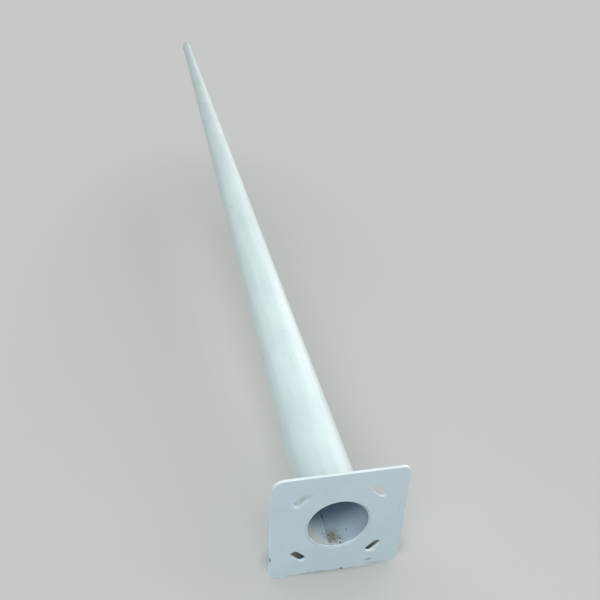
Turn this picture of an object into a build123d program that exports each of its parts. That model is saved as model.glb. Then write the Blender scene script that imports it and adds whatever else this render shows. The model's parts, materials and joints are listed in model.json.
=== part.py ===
from build123d import *
from build123d.topology import SkipClean
import math
import os

# Street light pole: a tapered round steel shaft welded into a square base plate.
# Row frame in millimetres: +Z runs up the pole, the origin is the centre of the
# base plate's underside, -Y is the side that faces the viewer, +Y the door side.

# Overall sizes
pole_height = 6000.0
foot_diameter = 168.0
tip_diameter = 70.0
wall = 4.0

# Base plate
plate_side = 350.0
plate_thickness = 8.0
corner_radii = {(-1, -1): 34.0, (1, -1): 22.0, (1, 1): 30.0, (-1, 1): 26.0}
bore_clearance = 0.4
bolt_spacing = 200.0
slot_width = 22.0
slot_length = 48.0

# Shaft ends: the foot stops short of the plate's underside, the top has a sized bore
shaft_setback = 4.0
tip_bore_diameter = 62.0
tip_bore_depth = 100.0
tip_bore_lead = 12.0
band_margin = 20.0

# Welds at the foot
root_weld_lip = 1.0
root_weld_depth = 2.6
root_weld_toe = 0.7
fillet_weld_leg = 7.0
weld_gap = 0.15

# Access door on the far side
door_angle = 90.0
door_centre_height = 625.0
door_height = 250.0
door_width = 90.0
door_corner = 20.0
door_gap = 1.5
frame_gap = 0.3
frame_thickness = 5.0
frame_overlap = 12.0
frame_lip = 10.0
lock_bar_height = 22.0
lock_bar_thickness = 6.0
lock_bar_end_margin = 5.0
lock_inset = 28.0
lock_gap = 0.3
lock_screw_diameter = 10.0
lock_screw_clearance = 0.3
lock_screw_stand = 1.5
lock_screw_tail = 8.0

# Earth boss inside the shaft, under the door
earth_boss_diameter = 18.0
earth_boss_length = 14.0
earth_boss_gap = 0.1
earth_boss_drop = 30.0

# Set screws that hold the lamp bracket in the top of the shaft
tip_screw_count = 3
tip_screw_start_angle = 270.0
tip_screw_drop = 45.0
tip_screw_diameter = 10.0
tip_screw_clearance = 0.3
tip_screw_stand = 4.0
tip_screw_inset = 0.4
tip_nut_width = 17.0
tip_nut_height = 8.0
tip_nut_gap = 0.15

# Sizes that follow from the ones above
foot_radius = foot_diameter / 2
taper = (foot_radius - tip_diameter / 2) / pole_height
bore_radius = foot_radius + bore_clearance
slot_circle = bolt_spacing / math.sqrt(2)
reach = foot_diameter


def shaft_radius(height):
    """Outer radius of the tapered shaft at a height above the plate's underside."""
    return foot_radius - taper * height


def taper_solid(offset, low, high):
    """Solid cone that keeps a constant radial offset from the shaft's surface."""
    height = high - low
    return Pos(0, 0, low) * Cone(
        shaft_radius(low) + offset,
        shaft_radius(high) + offset,
        height,
        align=(Align.CENTER, Align.CENTER, Align.MIN),
    )


def taper_shell(outer_offset, inner_offset, low, high):
    """Tapered ring between two radial offsets from the shaft's surface."""
    margin = wall
    return taper_solid(outer_offset, low, high) - taper_solid(inner_offset, low - margin, high + margin)


def radial_plane(angle, height, distance=0.0):
    """Plane that faces away from the pole's axis at an angle, with its X axis level."""
    heading = math.radians(angle)
    outward = Vector(math.cos(heading), math.sin(heading), 0)
    level = Vector(-math.sin(heading), math.cos(heading), 0)
    return Plane(origin=outward * distance + Vector(0, 0, height), x_dir=level, z_dir=outward)


def radial_block(outline, angle, height, start, end):
    """Block with a given outline that points away from the axis, between two distances from it."""
    return extrude(radial_plane(angle, height, start) * outline, end - start)


def radial_rod(angle, height, radius, start, end):
    """Round rod that points away from the pole's axis, between two distances from it."""
    return radial_block(Circle(radius), angle, height, start, end)


def door_prism(width, height, corner):
    """Rounded block that stands out from the axis through the door."""
    outline = RectangleRounded(width, height, corner)
    return radial_block(outline, door_angle, door_centre_height, 0, reach)


def make_base_plate():
    """Square plate with rounded corners, a bore for the shaft and four slots."""
    plate = extrude(Rectangle(plate_side, plate_side), plate_thickness)
    half = plate_side / 2
    for (side_x, side_y), radius in corner_radii.items():
        corner = Vector(side_x * half, side_y * half, plate_thickness / 2)
        edge = plate.edges().filter_by(Axis.Z).sort_by_distance(corner)[0]
        plate = fillet(edge, radius)
    plate -= Pos(0, 0, -wall) * Cylinder(
        bore_radius, plate_thickness + 2 * wall, align=(Align.CENTER, Align.CENTER, Align.MIN)
    )
    for quarter in range(4):
        place = Rot(0, 0, 45 + 90 * quarter) * Pos(slot_circle, 0, -wall)
        slot = place * SlotOverall(slot_length, slot_width, rotation=90)
        plate -= extrude(slot, plate_thickness + 2 * wall)
    return plate


def band_edges():
    """Heights that split the shaft into bands, so that each curved face stays simple."""
    low, high = door_span()
    sized = pole_height - tip_bore_depth - tip_bore_lead
    return [shaft_setback, low - band_margin, high + band_margin, sized]


def make_shaft():
    """Tapered tube with a sized bore at its top, a door opening and three screw holes."""
    bore = tip_bore_diameter / 2
    edges = band_edges()
    outside = [(shaft_radius(height), 0, height) for height in edges + [pole_height]]
    inside = [(shaft_radius(height) - wall, 0, height) for height in edges]
    sized = [(bore, 0, pole_height), (bore, 0, pole_height - tip_bore_depth)]
    outline = Polyline(*outside, *sized, *reversed(inside), close=True)
    shaft = revolve(make_face(outline.edges()), Axis.Z, 360, clean=False)
    with SkipClean():
        shaft -= door_prism(door_width, door_height, door_corner)
        for angle in tip_screw_angles():
            shaft -= radial_rod(angle, tip_height(), tip_hole_radius(), 0, reach)
    return shaft


def tip_screw_angles():
    """Directions of the set screws round the top of the shaft."""
    return [tip_screw_start_angle + 360 / tip_screw_count * turn for turn in range(tip_screw_count)]


def tip_height():
    """Height of the set screws above the plate's underside."""
    return pole_height - tip_screw_drop


def tip_hole_radius():
    """Radius of the holes that the set screws run in."""
    return tip_screw_diameter / 2 + tip_screw_clearance


def make_root_weld():
    """Weld between the end of the shaft and the plate's bore, seen from below."""
    inner = foot_radius - wall - root_weld_lip
    outer = bore_radius - weld_gap
    outline = Polyline(
        (inner, 0, shaft_setback),
        (inner, 0, root_weld_depth),
        (outer, 0, root_weld_toe),
        (outer, 0, shaft_setback),
        close=True,
    )
    return revolve(make_face(outline.edges()), Axis.Z, 360)


def make_fillet_weld():
    """Fillet weld that runs round the shaft on the upper face of the plate."""
    low = plate_thickness
    high = plate_thickness + fillet_weld_leg
    seat_low = shaft_radius(low) + weld_gap
    seat_high = shaft_radius(high) + weld_gap
    outline = Polyline(
        (seat_low, 0, low),
        (seat_low + fillet_weld_leg, 0, low),
        (seat_high, 0, high),
        close=True,
    )
    return revolve(make_face(outline.edges()), Axis.Z, 360)


def door_span():
    """Heights between which every piece of the door lies."""
    half = door_height / 2 + frame_overlap + wall
    return door_centre_height - half, door_centre_height + half


def lock_heights():
    """Heights of the two lock bars and their screws."""
    half = door_height / 2 - lock_inset
    return {"lower": door_centre_height - half, "upper": door_centre_height + half}


def make_door_cover():
    """Curved cover cut from the same tube, with a hole for each lock screw."""
    low, high = door_span()
    cover = taper_shell(0, -wall, low, high)
    cover &= door_prism(door_width - 2 * door_gap, door_height - 2 * door_gap, door_corner - door_gap)
    for height in lock_heights().values():
        cover -= radial_rod(door_angle, height, lock_screw_diameter / 2 + lock_screw_clearance, 0, reach)
    return cover


def make_door_frame():
    """Stiffening ring inside the shaft, round the door, whose lip carries the cover."""
    low, high = door_span()
    front = -wall - frame_gap
    ring = taper_shell(front, front - frame_thickness, low, high)
    ring &= door_prism(
        door_width + 2 * frame_overlap, door_height + 2 * frame_overlap, door_corner + frame_overlap
    )
    ring -= door_prism(door_width - 2 * frame_lip, door_height - 2 * frame_lip, door_corner - frame_lip)
    return ring


def lock_bar_length():
    """Length of a lock bar, which reaches past the inside of the frame's lip."""
    return door_width - 2 * lock_bar_end_margin


def lock_bar_front(height):
    """Distance of a lock bar's front from the axis, where its ends meet the frame."""
    back = shaft_radius(height + lock_bar_height / 2) - wall - frame_gap - frame_thickness
    half = lock_bar_length() / 2
    return math.sqrt(back ** 2 - half ** 2) - lock_gap


def make_lock_bar(height):
    """Bar behind the frame that a lock screw pulls against it."""
    front = lock_bar_front(height)
    outline = Rectangle(lock_bar_length(), lock_bar_height)
    bar = radial_block(outline, door_angle, height, front - lock_bar_thickness, front)
    return bar - radial_rod(door_angle, height, lock_screw_diameter / 2 + lock_screw_clearance, 0, reach)


def make_lock_screw(height):
    """Lock screw that runs through the cover into its bar and ends almost flush outside."""
    head = shaft_radius(height) + lock_screw_stand
    tail = lock_bar_front(height) - lock_bar_thickness - lock_screw_tail
    return radial_rod(door_angle, height, lock_screw_diameter / 2, tail, head)


def make_earth_boss():
    """Boss for the earth wire, welded inside the shaft below the door."""
    height = door_span()[0] - earth_boss_drop
    inner = shaft_radius(height + earth_boss_diameter / 2) - wall
    seat = math.sqrt(inner ** 2 - (earth_boss_diameter / 2) ** 2) - earth_boss_gap
    return radial_rod(door_angle, height, earth_boss_diameter / 2, seat - earth_boss_length, seat)


def make_tip_nut(angle):
    """Hexagonal nut that is welded to the shaft over a set screw's hole."""
    height = tip_height()
    seat = shaft_radius(height) + tip_nut_gap
    outline = RegularPolygon(tip_nut_width / 2, 6, major_radius=False)
    nut = radial_block(outline, angle, height, seat, seat + tip_nut_height)
    return nut - radial_rod(angle, height, tip_hole_radius(), 0, reach)


def make_tip_screw(angle):
    """Set screw that ends flush inside the shaft and stands proud of its nut."""
    height = tip_height()
    inner = shaft_radius(height + tip_screw_diameter / 2) - wall + tip_screw_inset
    outer = shaft_radius(height) + tip_nut_height + tip_screw_stand
    return radial_rod(angle, height, tip_screw_diameter / 2, inner, outer)


def make_parts():
    """Every named sub-part of the pole."""
    parts = {
        "base_plate": make_base_plate(),
        "shaft": make_shaft(),
        "root_weld": make_root_weld(),
        "fillet_weld": make_fillet_weld(),
        "door_cover": make_door_cover(),
        "door_frame": make_door_frame(),
        "earth_boss": make_earth_boss(),
    }
    for place, height in lock_heights().items():
        parts[f"lock_bar_{place}"] = make_lock_bar(height)
        parts[f"lock_screw_{place}"] = make_lock_screw(height)
    for number, angle in enumerate(tip_screw_angles(), start=1):
        parts[f"tip_nut_{number}"] = make_tip_nut(angle)
        parts[f"tip_screw_{number}"] = make_tip_screw(angle)
    return parts


os.makedirs("parts", exist_ok=True)
for name, part in make_parts().items():
    export_step(part, f"parts/{name}.step")
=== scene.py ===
"""Street light pole: detail, finishes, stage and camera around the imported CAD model.

The pole stands upright in its own frame, with the base plate's underside at the
origin and +Z up the shaft. The camera looks at it as it lies: its -Y side is up.
Sizes in the classes are in millimetres, meshes and node values in metres.
"""

from __future__ import annotations

import json
import logging
import math
from collections.abc import Iterable
from dataclasses import dataclass, field
from enum import Enum

import bmesh
import bpy
from bpy.types import Material, Mesh, Node, NodeSocket, NodeTree, Object
from mathutils import Matrix, Vector, geometry, noise

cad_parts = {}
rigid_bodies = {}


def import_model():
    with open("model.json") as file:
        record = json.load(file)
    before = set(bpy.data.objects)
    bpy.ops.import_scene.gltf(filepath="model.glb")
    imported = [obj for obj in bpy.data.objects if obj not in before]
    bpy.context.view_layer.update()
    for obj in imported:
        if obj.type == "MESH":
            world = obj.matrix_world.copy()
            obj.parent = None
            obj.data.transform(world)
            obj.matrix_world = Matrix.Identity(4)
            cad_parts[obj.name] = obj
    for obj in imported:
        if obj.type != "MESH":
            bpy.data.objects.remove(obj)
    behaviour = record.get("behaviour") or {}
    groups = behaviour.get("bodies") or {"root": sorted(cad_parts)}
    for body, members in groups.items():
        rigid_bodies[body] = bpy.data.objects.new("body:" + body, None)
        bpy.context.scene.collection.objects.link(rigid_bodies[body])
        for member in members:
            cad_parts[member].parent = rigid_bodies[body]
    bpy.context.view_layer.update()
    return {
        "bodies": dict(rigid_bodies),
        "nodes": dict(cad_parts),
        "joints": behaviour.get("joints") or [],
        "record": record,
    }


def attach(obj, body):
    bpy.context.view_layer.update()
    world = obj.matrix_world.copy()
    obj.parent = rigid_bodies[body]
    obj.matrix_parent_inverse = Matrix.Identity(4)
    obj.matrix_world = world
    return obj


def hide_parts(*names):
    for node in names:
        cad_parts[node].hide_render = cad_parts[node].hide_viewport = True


LOG = logging.getLogger("street_light_pole")
BODY = "root"
MM = 0.001
Point = tuple[float, float, float]
Span = tuple[float, float]


# Helpers


class Finish(Enum):
    """The record's material slots."""

    PLATE = "plate_coating"
    SHAFT = "shaft_coating"
    WELD = "weld_coating"
    STEEL = "bare_steel"
    SCREW = "screw_steel"


def linear(hex_colour: str) -> tuple[float, float, float, float]:
    """Turns an sRGB hex colour into a linear RGBA colour.

    Args:
        hex_colour: Six hex digits after a hash sign.

    Returns:
        The linear colour with an alpha of 1.
    """
    channels = [int(hex_colour[i : i + 2], 16) / 255 for i in (1, 3, 5)]
    values = [c / 12.92 if c <= 0.04045 else ((c + 0.055) / 1.055) ** 2.4 for c in channels]
    return values[0], values[1], values[2], 1.0


def add(tree: NodeTree, kind: str, inputs: dict | list | None = None, **settings) -> Node:
    """Adds a node with its settings, values and links.

    Args:
        tree: The node tree that gets the node.
        kind: The node's type name.
        inputs: What its inputs get, by name, or as a list in the order of the inputs in
            use: a value, a socket, or a node, which feeds from its first output in use.
        settings: The node's own properties.

    Returns:
        The new node.
    """
    node = tree.nodes.new(kind)
    for name, value in settings.items():
        setattr(node, name, value)
    targets = [socket for socket in node.inputs if socket.enabled]
    if isinstance(inputs, dict):
        named = {socket.name: socket for socket in reversed(targets)}
        targets = [named[name] for name in inputs]
        inputs = list(inputs.values())
    for target, value in zip(targets, inputs or []):
        if isinstance(value, Node):
            value = next(socket for socket in value.outputs if socket.enabled)
        if isinstance(value, NodeSocket):
            tree.links.new(value, target)
        else:
            target.default_value = value
    return node


def metres(sizes_mm: Iterable[float]) -> tuple[float, ...]:
    """Turns millimetres into metres."""
    return tuple(size * MM for size in sizes_mm)


def per_metre(size_mm: float) -> float:
    """Gives the texture scale at which a pattern's cell is size_mm wide."""
    return 1.0 / (size_mm * MM)


def new_material(name: str) -> tuple[Material, NodeTree]:
    """Makes a material with an empty node tree.

    Args:
        name: The material's name.

    Returns:
        The material and its tree.
    """
    material = bpy.data.materials.new(name)
    material.use_nodes = True
    material.node_tree.nodes.clear()
    return material, material.node_tree


def new_mesh(name: str, points: Iterable[Point], faces: Iterable[tuple[int, ...]] = ()) -> Mesh:
    """Makes a mesh.

    Args:
        name: The mesh's name.
        points: Its points in metres.
        faces: The numbers of each face's points.

    Returns:
        The mesh.
    """
    mesh = bpy.data.meshes.new(name)
    mesh.from_pydata([tuple(point) for point in points], [], list(faces))
    return mesh


def new_object(name: str, mesh: Mesh) -> Object:
    """Puts a mesh into the scene as an object at the origin.

    Args:
        name: The object's name.
        mesh: Its mesh.

    Returns:
        The object.
    """
    item = bpy.data.objects.new(name, mesh)
    bpy.context.scene.collection.objects.link(item)
    return item


def evaluated(item: Object) -> Mesh:
    """Carries out an object's modifiers and removes them.

    Args:
        item: The object.

    Returns:
        The object's new mesh.
    """
    graph = bpy.context.evaluated_depsgraph_get()
    mesh = bpy.data.meshes.new_from_object(item.evaluated_get(graph))
    item.modifiers.clear()
    item.data = mesh
    return mesh


def turn_outwards(mesh: Mesh, sliver_mm: float = 0.0) -> None:
    """Turns all faces of a closed mesh outwards.

    Args:
        mesh: The mesh.
        sliver_mm: The width up to which thin faces are closed first.
    """
    shape = bmesh.new()
    shape.from_mesh(mesh)
    if sliver_mm:
        bmesh.ops.dissolve_degenerate(shape, dist=sliver_mm * MM, edges=shape.edges)
    bmesh.ops.recalc_face_normals(shape, faces=shape.faces)
    shape.to_mesh(mesh)
    shape.free()


def settle(piece: Object, finish: Finish, *nodes: str) -> None:
    """Lets a finished piece ride on the pole and stand for its CAD nodes.

    Args:
        piece: The finished piece, at the origin.
        finish: The record's slot for its finish; not used.
        nodes: The CAD nodes that it replaces.
    """
    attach(piece, BODY)
    if nodes:
        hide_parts(*nodes)
    LOG.info("%s: %d faces", piece.name, len(piece.data.polygons))


# The pole's measures


@dataclass(frozen=True)
class PoleMeasures:
    """Sizes that several pieces share, in millimetres, as the CAD model has them."""

    height: float = 6000.0
    foot_radius: float = 84.0
    tip_radius: float = 35.0
    wall: float = 4.0
    plate_thickness: float = 8.0
    setback: float = 4.0
    bore_radius: float = 31.0
    bore_depth: float = 100.0
    bore_lead: float = 12.0
    door_angle: float = 90.0
    door_height: float = 625.0
    door_long: float = 250.0
    door_wide: float = 90.0
    door_corner: float = 20.0
    frame_overlap: float = 12.0
    seam_angle: float = 102.0
    set_screw_angles: tuple[float, ...] = (270.0, 30.0, 150.0)
    set_screw_drop: float = 45.0
    screw_radius: float = 5.0
    screw_hole: float = 5.3
    thread_pitch: float = 1.5

    @property
    def taper(self) -> float:
        """Gives the loss of radius per millimetre of height."""
        return (self.foot_radius - self.tip_radius) / self.height

    @property
    def bore_foot(self) -> float:
        """Gives the height at which the tapered inside meets the lead of the top's bore."""
        return self.height - self.bore_depth - self.bore_lead

    def radius(self, height: float) -> float:
        """Gives the shaft's outer radius at a height."""
        return self.foot_radius - self.taper * height

    def outward(self, angle: float, height: float, distance: float) -> Matrix:
        """Gives the place of a piece whose own Z axis points away from the pole's axis.

        Args:
            angle: The direction round the pole in degrees.
            height: The height above the plate's underside in millimetres.
            distance: The distance from the axis in millimetres.

        Returns:
            The matrix in metres, with the piece's own Y axis up the pole.
        """
        heading = math.radians(angle)
        out = Vector((math.cos(heading), math.sin(heading), 0.0))
        level = Vector((-math.sin(heading), math.cos(heading), 0.0))
        up = Vector((0.0, 0.0, 1.0))
        turn = Matrix((level, up, out)).transposed().to_4x4()
        return Matrix.Translation((out * distance + up * height) * MM) @ turn


# Finishes


@dataclass(frozen=True)
class Grain:
    """A noise pattern: how wide its patches are, how many finer ones lie in them, how strongly."""

    size_mm: float
    detail: float = 2.0
    roughness: float = 0.5

    def over(self, place: Node | NodeSocket) -> dict:
        """Gives the pattern's own settings, over a surface point."""
        scale = per_metre(self.size_mm)
        return {"Vector": place, "Scale": scale, "Detail": self.detail, "Roughness": self.roughness}


@dataclass(frozen=True)
class Mark:
    """One mark on a surface: a stain, a chip or a smear, broken up by noise.

    Its place and its half sizes are in millimetres. It fades out over its edge, up to its
    rim, and the noise moves that by up to its breakup.
    """

    place: Point
    size: Point
    colour: str
    strength: float
    edge: float = 0.5
    breakup_mm: float = 6.0
    breakup: float = 1.6
    rim: float = 1.8

    def mix(self, tree: NodeTree, place: NodeSocket, under: Node) -> Node:
        """Lays the mark over a colour.

        Args:
            tree: The material's tree.
            place: The socket with the surface point.
            under: The node with the colour below the mark.

        Returns:
            The node with the colour that has the mark on it.
        """
        middle = metres(self.place)
        stretch = tuple(per_metre(size) for size in self.size)
        centred = add(tree, "ShaderNodeVectorMath", [place, middle], operation="SUBTRACT")
        scaled = add(tree, "ShaderNodeVectorMath", [centred, stretch], operation="MULTIPLY")
        away = add(tree, "ShaderNodeVectorMath", [scaled], operation="LENGTH")
        rough = add(tree, "ShaderNodeTexNoise", Grain(self.breakup_mm, 4.0, 0.65).over(place))
        ragged = add(tree, "ShaderNodeMath", [rough, self.breakup, away], operation="MULTIPLY_ADD")
        share = add(
            tree,
            "ShaderNodeMapRange",
            [ragged, self.rim - self.edge, self.rim, self.strength, 0.0],
            interpolation_type="SMOOTHSTEP",
        )
        return add(tree, "ShaderNodeMix", [share, under, linear(self.colour)], data_type="RGBA")


@dataclass(frozen=True)
class PowderCoat:
    """Polyester powder coat, sprayed on and baked: satin gloss with a faint orange peel.

    Long streaks and clouds give the eye the rolled steel under it and the dust on it.
    A span is where a pattern's own value starts to count and where it counts in full.
    Orange peel has waves of 1 to 10 mm, and only its coarser ones show at this distance.
    """

    name: str
    colour: str
    shade: str
    roughness: float = 0.3
    duller: float = 0.06
    glossier: float = 0.05
    gloss_span: Span = (0.3, 0.7)
    clear_weight: float = 0.25
    clear_roughness: float = 0.12
    cloud: Grain = Grain(260.0, 3.0, 0.55)
    streak: Grain = Grain(26.0, 4.0, 0.6)
    streak_length: float = 20.0
    tone_span: Span = (0.8, 1.2)
    peel: Grain = Grain(7.0)
    peel_depth_mm: float = 0.05
    wave: Grain = Grain(110.0, 1.5)
    wave_squeeze: float = 0.22
    wave_depth_mm: float = 0.0
    scuff: str = "#9AA5A4"
    scuff_strength: float = 0.35
    scuff_fine: Grain = Grain(8.0, 6.0, 0.7)
    scuff_patch: Grain = Grain(120.0)
    scuff_span: Span = (0.37, 0.44)
    marks: tuple[Mark, ...] = ()

    def tone(self, tree: NodeTree, place: NodeSocket) -> tuple[Node, Node]:
        """Builds the coat's colour from clouds, streaks and small scuffs.

        Args:
            tree: The material's tree.
            place: The socket with the object coordinates.

        Returns:
            The nodes with the colour and with the streaks.
        """
        cloud = add(tree, "ShaderNodeTexNoise", self.cloud.over(place))
        squeeze = (1.0, 1.0, 1.0 / self.streak_length)
        drawn = add(tree, "ShaderNodeMapping", {"Vector": place, "Scale": squeeze})
        streak = add(tree, "ShaderNodeTexNoise", self.streak.over(drawn))
        blend = add(tree, "ShaderNodeMath", [cloud, streak], operation="ADD")
        share = add(tree, "ShaderNodeMapRange", [blend, *self.tone_span, 0.0, 1.0])
        tones = [share, linear(self.shade), linear(self.colour)]
        base = add(tree, "ShaderNodeMix", tones, data_type="RGBA")
        fine = add(tree, "ShaderNodeTexNoise", self.scuff_fine.over(place))
        patch = add(tree, "ShaderNodeTexNoise", self.scuff_patch.over(place))
        worn = add(tree, "ShaderNodeMath", [fine, patch], operation="MULTIPLY")
        scuffs = add(tree, "ShaderNodeMapRange", [worn, *self.scuff_span, 0.0, self.scuff_strength])
        colour = add(tree, "ShaderNodeMix", [scuffs, base, linear(self.scuff)], data_type="RGBA")
        return colour, streak

    def build(self) -> Material:
        """Builds the coat's material.

        Returns:
            The material.
        """
        material, tree = new_material(self.name)
        place = add(tree, "ShaderNodeTexCoord").outputs["Object"]
        colour, streak = self.tone(tree, place)
        for mark in self.marks:
            colour = mark.mix(tree, place, colour)
        limits = (self.roughness - self.glossier, self.roughness + self.duller)
        gloss = add(tree, "ShaderNodeMapRange", [streak, *self.gloss_span, *limits])
        peel = add(tree, "ShaderNodeTexNoise", self.peel.over(place))
        bump = add(tree, "ShaderNodeBump", {"Height": peel, "Distance": self.peel_depth_mm * MM})
        if self.wave_depth_mm:
            squeeze = (1.0, 1.0, self.wave_squeeze)
            drawn = add(tree, "ShaderNodeMapping", {"Vector": place, "Scale": squeeze})
            wave = add(tree, "ShaderNodeTexNoise", self.wave.over(drawn))
            depth = self.wave_depth_mm * MM
            bump = add(tree, "ShaderNodeBump", {"Height": wave, "Distance": depth, "Normal": bump})
        shader = add(
            tree,
            "ShaderNodeBsdfPrincipled",
            {
                "Base Color": colour,
                "Roughness": gloss,
                "Normal": bump,
                "IOR": 1.5,
                "Coat Weight": self.clear_weight,
                "Coat Roughness": self.clear_roughness,
            },
        )
        add(tree, "ShaderNodeOutputMaterial", {"Surface": shader})
        return material


@dataclass(frozen=True)
class OversprayedSteel:
    """Mill steel inside the tube, pale near its ends and darker between: powder and painted shade.

    One side of the seam is paler: more powder blew in there, and painted light lies towards
    the low side near the mouth, where light falls in. Dirt and dark specks lie in the mouth,
    and a thin dark line follows the seam. Spans in millimetres are measured from the
    underside, from the axis or from the seam.
    """

    name: str = "oversprayed_mill_steel"
    measures: PoleMeasures = PoleMeasures()
    colour: str = "#C4D6E1"
    shade: str = "#ABBFCB"
    # The deep steel tone, partly painted shade deep in the tube
    deep: str = "#6F8698"
    # Pale tone of the seam's side, partly painted light near the mouth
    pale: str = "#F4F5F2"
    speck: str = "#26241F"
    cloud: Grain = Grain(45.0, 5.0, 0.6)
    powder_and_shade_mm: Span = (28.0, 118.0)
    seam_step_mm: Span = (-1.0, 1.5)
    spread_mm: Span = (0.0, 42.0)
    spread: Span = (0.4, 1.0)
    flank_mm: Span = (-65.0, 25.0)
    flank_strength: float = 0.92
    mouth_mm: Span = (0.0, 115.0)
    line_mm: Span = (0.3, 1.4)
    line_strength: float = 0.4
    line_end_mm: Span = (92.0, 110.0)
    line_end: float = 0.25
    specks: Grain = Grain(7.5, 1.5, 0.4)
    speck_deep_mm: Span = (10.0, 62.0)
    speck_side_mm: Span = (50.0, 80.0)
    fewer_deep: float = 0.12
    fewer_above: float = 0.14
    speck_span: Span = (0.635, 0.665)
    speck_strength: float = 0.9
    marks: tuple[Mark, ...] = (
        Mark((-15.5, 78.0, 98.0), (4.0, 60.0, 7.0), "#26241F", 0.9, 0.6, 4.0),
        # Painted light: a pale patch on the low side at the mouth, where light falls in
        Mark((-14.0, 68.0, 4.0), (84.0, 74.0, 19.0), "#F0F2EE", 0.85, 1.0, 12.0),
        Mark((-4.5, 78.0, 31.0), (29.0, 60.0, 29.0), "#877C57", 0.8, 0.9, 14.0),
        Mark((10.0, 78.0, 9.0), (38.0, 60.0, 9.0), "#877C57", 0.2, 0.9, 8.0),
    )
    grain: Grain = Grain(3.0, 3.0)
    grain_depth_mm: float = 0.12
    roughness: float = 0.55

    def powdered_and_shaded(self, tree: NodeTree, place: NodeSocket, axes: Node) -> Node:
        """Builds the drift of powder, which thins out inwards from both ends over the dark steel, with
        painted shade deep in the tube.

        Args:
            tree: The material's tree.
            place: The socket with the object coordinates.
            axes: The node that splits them.

        Returns:
            The node with the colour.
        """
        cloud = add(tree, "ShaderNodeTexNoise", self.cloud.over(place))
        tones = [cloud, linear(self.shade), linear(self.colour)]
        powder = add(tree, "ShaderNodeMix", tones, data_type="RGBA")
        height = axes.outputs["Z"]
        from_top = add(tree, "ShaderNodeMath", [self.measures.height * MM, height], operation="SUBTRACT")
        inwards = add(tree, "ShaderNodeMath", [height, from_top], operation="MINIMUM")
        # Partly thinning powder, partly painted shade: the colour darkens to the deep tone further in from
        # both ends
        reach = [inwards, *metres(self.powder_and_shade_mm)]
        thinning_and_shade = add(tree, "ShaderNodeMapRange", reach, interpolation_type="SMOOTHSTEP")
        return add(tree, "ShaderNodeMix", [thinning_and_shade, powder, linear(self.deep)], data_type="RGBA")

    def seamed_and_lit(self, tree: NodeTree, place: NodeSocket, axes: Node, under: Node) -> Node:
        """Lays the paler side of the seam, with painted light near the mouth on the low side, and its dark
        line over the powder.

        Args:
            tree: The material's tree.
            place: The socket with the object coordinates.
            axes: The node that splits them.
            under: The node with the colour of the powder.

        Returns:
            The node with the colour.
        """
        seam = math.radians(self.measures.seam_angle)
        sideways = (-math.sin(seam), math.cos(seam), 0.0)
        beside = add(tree, "ShaderNodeVectorMath", [place, sideways], operation="DOT_PRODUCT")
        side = add(tree, "ShaderNodeMapRange", [beside, *metres(self.seam_step_mm), 0.0, 1.0])
        # Painted light: the paler side is strongest towards the low side and near the mouth, where light
        # falls in
        flank = [axes.outputs["Y"], *metres(self.flank_mm), 0.0, self.flank_strength]
        lower = add(tree, "ShaderNodeMapRange", flank)
        deep = [axes.outputs["Z"], *metres(self.mouth_mm), 1.0, 0.0]
        mouth = add(tree, "ShaderNodeMapRange", deep, interpolation_type="SMOOTHSTEP")
        spread = add(tree, "ShaderNodeMapRange", [beside, *metres(self.spread_mm), *self.spread])
        share = add(tree, "ShaderNodeMath", [side, spread], operation="MULTIPLY")
        share = add(tree, "ShaderNodeMath", [share, lower], operation="MULTIPLY")
        share = add(tree, "ShaderNodeMath", [share, mouth], operation="MULTIPLY")
        paler = add(tree, "ShaderNodeMix", [share, under, linear(self.pale)], data_type="RGBA")
        off = add(tree, "ShaderNodeMath", [beside], operation="ABSOLUTE")
        line = add(tree, "ShaderNodeMapRange", [off, *metres(self.line_mm), self.line_strength, 0.0])
        deeper = [axes.outputs["Z"], *metres(self.line_end_mm), 1.0, self.line_end]
        ending = add(tree, "ShaderNodeMapRange", deeper)
        dark = add(tree, "ShaderNodeMath", [line, ending], operation="MULTIPLY")
        return add(tree, "ShaderNodeMix", [dark, paler, linear(self.speck)], data_type="RGBA")

    def speckled(self, tree: NodeTree, place: NodeSocket, axes: Node, under: Node) -> Node:
        """Strews dark specks, fewer deep inside and away from the side that lies lowest.

        Args:
            tree: The material's tree.
            place: The socket with the object coordinates.
            axes: The node that splits them.
            under: The node with the colour below the specks.

        Returns:
            The node with the colour.
        """
        specks = add(tree, "ShaderNodeTexNoise", self.specks.over(place))
        deep = [axes.outputs["Z"], *metres(self.speck_deep_mm), 0.0, self.fewer_deep]
        near = add(tree, "ShaderNodeMapRange", deep)
        above = [axes.outputs["Y"], *metres(self.speck_side_mm), self.fewer_above, 0.0]
        low_side = add(tree, "ShaderNodeMapRange", above)
        level = add(tree, "ShaderNodeMath", [near, low_side], operation="ADD")
        height = add(tree, "ShaderNodeMath", [specks, level], operation="SUBTRACT")
        dots = add(tree, "ShaderNodeMapRange", [height, *self.speck_span, 0.0, self.speck_strength])
        return add(tree, "ShaderNodeMix", [dots, under, linear(self.speck)], data_type="RGBA")

    def build(self) -> Material:
        """Builds the inner surface's material.

        Returns:
            The material.
        """
        material, tree = new_material(self.name)
        place = add(tree, "ShaderNodeTexCoord").outputs["Object"]
        axes = add(tree, "ShaderNodeSeparateXYZ", [place])
        colour = self.seamed_and_lit(tree, place, axes, self.powdered_and_shaded(tree, place, axes))
        for mark in self.marks:
            colour = mark.mix(tree, place, colour)
        colour = self.speckled(tree, place, axes, colour)
        grain = add(tree, "ShaderNodeTexNoise", self.grain.over(place))
        bump = add(tree, "ShaderNodeBump", {"Height": grain, "Distance": self.grain_depth_mm * MM})
        look = {"Base Color": colour, "Roughness": self.roughness, "Normal": bump, "IOR": 1.5}
        shader = add(tree, "ShaderNodeBsdfPrincipled", look)
        add(tree, "ShaderNodeOutputMaterial", {"Surface": shader})
        return material


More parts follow.
